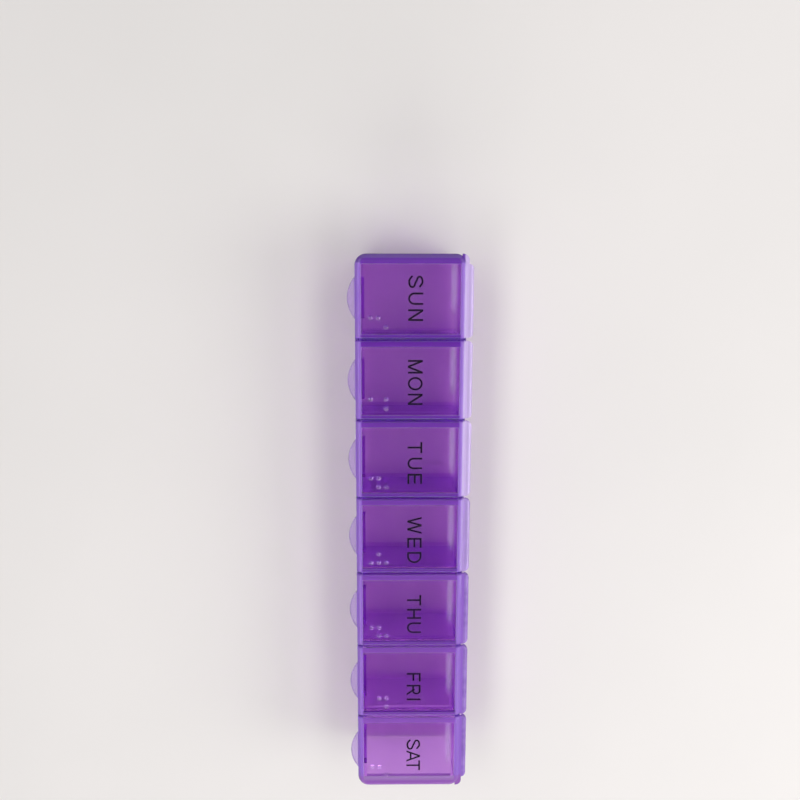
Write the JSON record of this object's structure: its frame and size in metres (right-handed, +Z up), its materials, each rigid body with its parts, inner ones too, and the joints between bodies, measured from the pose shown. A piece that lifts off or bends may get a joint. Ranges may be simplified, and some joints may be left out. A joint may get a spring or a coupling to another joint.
{
  "type": "weekly pill box",
  "caption": "Long translucent pill box: a tray of day compartments, each closed by a flat lid with a thumb tab that swings up on its own thin hinge strip.",
  "frame": {"origin": "centre of the tray's underside, on the surface it stands on", "axes": "+X along the week from the first day to the last, -Y towards the thumb tabs, +Y towards the hinges, +Z up"},
  "size_m": [0.1482, 0.0322, 0.0233],
  "materials": {
    "tray_plastic": "clear tinted, moulded gloss",
    "lid_plastic": "clear tinted, moulded gloss",
    "day_print": "screen-printed ink",
    "hinge_plastic": "thin flexed strip, gloss"
  },
  "bodies": {
    "tray": {"tray": "tray_plastic", "hinge_sun": "hinge_plastic", "hinge_mon": "hinge_plastic", "hinge_tue": "hinge_plastic", "hinge_wed": "hinge_plastic", "hinge_thu": "hinge_plastic", "hinge_fri": "hinge_plastic", "hinge_sat": "hinge_plastic"},
    "lid_sun": {"lid_sun": "lid_plastic"},
    "lid_mon": {"lid_mon": "lid_plastic"},
    "lid_tue": {"lid_tue": "lid_plastic"},
    "lid_wed": {"lid_wed": "lid_plastic"},
    "lid_thu": {"lid_thu": "lid_plastic"},
    "lid_fri": {"lid_fri": "lid_plastic"},
    "lid_sat": {"lid_sat": "lid_plastic"}
  },
  "joints": [
    {"name": "lid_sun_hinge", "type": "hinge", "parent": "tray", "child": "lid_sun", "pos_m": [-0.063, 0.01525, 0.02186], "axis": [-1, 0, 0], "range_deg": [0, 180], "deforming": ["hinge_sun"]},
    {"name": "lid_mon_hinge", "type": "hinge", "parent": "tray", "child": "lid_mon", "pos_m": [-0.042, 0.01525, 0.02186], "axis": [-1, 0, 0], "range_deg": [0, 180], "deforming": ["hinge_mon"]},
    {"name": "lid_tue_hinge", "type": "hinge", "parent": "tray", "child": "lid_tue", "pos_m": [-0.021, 0.01525, 0.02186], "axis": [-1, 0, 0], "range_deg": [0, 180], "deforming": ["hinge_tue"]},
    {"name": "lid_wed_hinge", "type": "hinge", "parent": "tray", "child": "lid_wed", "pos_m": [0, 0.01525, 0.02186], "axis": [-1, 0, 0], "range_deg": [0, 180], "deforming": ["hinge_wed"]},
    {"name": "lid_thu_hinge", "type": "hinge", "parent": "tray", "child": "lid_thu", "pos_m": [0.021, 0.01525, 0.02186], "axis": [-1, 0, 0], "range_deg": [0, 180], "deforming": ["hinge_thu"]},
    {"name": "lid_fri_hinge", "type": "hinge", "parent": "tray", "child": "lid_fri", "pos_m": [0.042, 0.01525, 0.02186], "axis": [-1, 0, 0], "range_deg": [0, 180], "deforming": ["hinge_fri"]},
    {"name": "lid_sat_hinge", "type": "hinge", "parent": "tray", "child": "lid_sat", "pos_m": [0.063, 0.01525, 0.02186], "axis": [-1, 0, 0], "range_deg": [0, 180], "deforming": ["hinge_sat"]}
  ]
}
